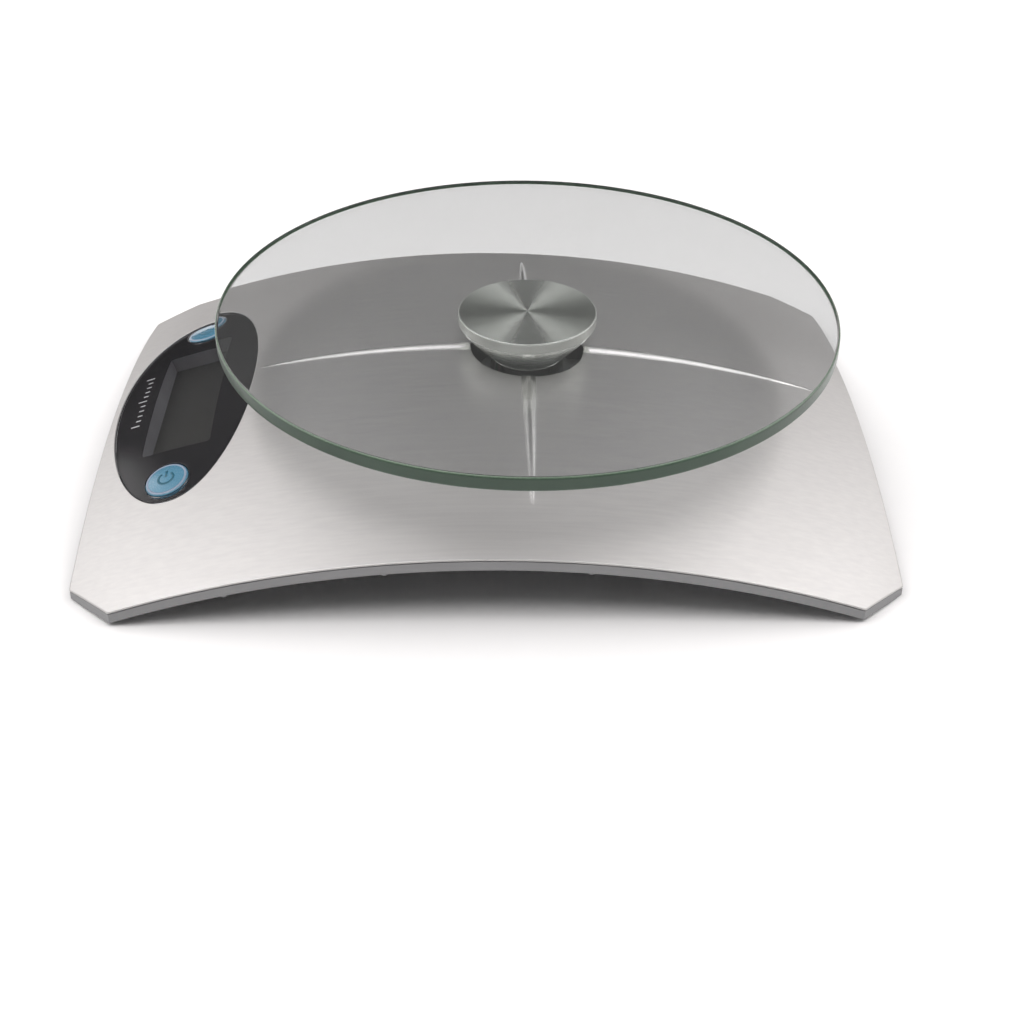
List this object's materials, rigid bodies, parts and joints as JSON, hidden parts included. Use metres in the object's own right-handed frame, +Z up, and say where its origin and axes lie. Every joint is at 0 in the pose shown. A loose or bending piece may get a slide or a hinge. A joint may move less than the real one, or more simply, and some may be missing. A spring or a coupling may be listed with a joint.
{
  "type": "digital gram scale",
  "caption": "Low digital bench scale with a round glass platter on a central stem, over a domed stainless base with an elliptical display and push buttons.",
  "frame": {"origin": "on the table, under the middle of the base's outline", "axes": "+X to the right along the base's length, the display is at -X; the front faces -Y; +Z up"},
  "size_m": [0.2498, 0.2, 0.0551],
  "materials": {
    "brushed_steel": "brushed stainless sheet",
    "hub_steel": "spun stainless",
    "tray_plastic": "grey moulded ABS",
    "foot_rubber": "matt rubber",
    "lens_acrylic": "clear gloss acrylic",
    "mask_print": "black printed film",
    "housing_plastic": "dark grey moulded ABS",
    "lcd": "blank reflective liquid crystal panel",
    "zebra_rubber": "conductive elastomer",
    "board": "green circuit board",
    "components": "capacitors and chips",
    "epoxy": "black epoxy",
    "switch_plastic": "switch body",
    "plunger_plastic": "switch plunger",
    "button_blue": "light blue gloss",
    "screws": "zinc plated steel",
    "cell_aluminium": "milled aluminium",
    "cast_metal": "die cast",
    "sealant": "white silicone",
    "wire_jacket": "wire insulation",
    "contact_metal": "nickel plated leaf",
    "coin_steel": "coin cell can",
    "door_plastic": "grey moulded ABS",
    "glass": "clear tempered glass, green at its edge"
  },
  "bodies": {
    "root": {"top_cover": "brushed_steel", "cover_studs": "screws", "cover_screws": "screws", "body_tray": "tray_plastic", "rubber_feet": "foot_rubber", "display_lens": "lens_acrylic", "lens_mask": "mask_print", "display_housing": "housing_plastic", "lcd_panel": "lcd", "zebra_strips": "zebra_rubber", "main_pcb": "board", "pcb_screws": "screws", "pcb_components": "components", "processor_blob": "epoxy", "tact_switches": "switch_plastic", "load_cell": "cell_aluminium", "gauge_sealant": "sealant", "load_cell_base_screws": "screws", "overload_stop_screw": "screws", "sensor_wires": "wire_jacket", "negative_contact": "contact_metal", "positive_contact": "contact_metal", "coin_cell": "coin_steel", "battery_wires": "wire_jacket"},
    "platform": {"platform_carrier": "cast_metal", "carrier_screws": "screws", "stem_screw": "screws", "hub_stem": "hub_steel", "hub_disc": "hub_steel", "glass_platter": "glass"},
    "power_button": {"power_button": "button_blue", "power_switch_plunger": "plunger_plastic"},
    "unit_button": {"unit_button": "button_blue", "unit_switch_plunger": "plunger_plastic"},
    "battery_door": {"battery_door": "door_plastic"}
  },
  "joints": [
    {"name": "platform_press", "type": "slide", "parent": "root", "child": "platform", "axis": [0, 0, -1], "range_m": [0, 0.0005], "stiffness_N_per_m": 100000, "springref_m": -0.00006, "deforming": ["load_cell"]},
    {"name": "power_button_press", "type": "slide", "parent": "root", "child": "power_button", "axis": [0.2846, 0, -0.9586], "range_m": [0, 0.0004], "stiffness_N_per_m": 2500, "springref_m": -0.00002},
    {"name": "unit_button_press", "type": "slide", "parent": "root", "child": "unit_button", "axis": [0.2846, 0, -0.9586], "range_m": [0, 0.0004], "stiffness_N_per_m": 2500, "springref_m": -0.00002},
    {"name": "battery_door_slide", "type": "slide", "parent": "root", "child": "battery_door", "axis": [0, -1, 0], "range_m": [0, 0.03]}
  ]
}
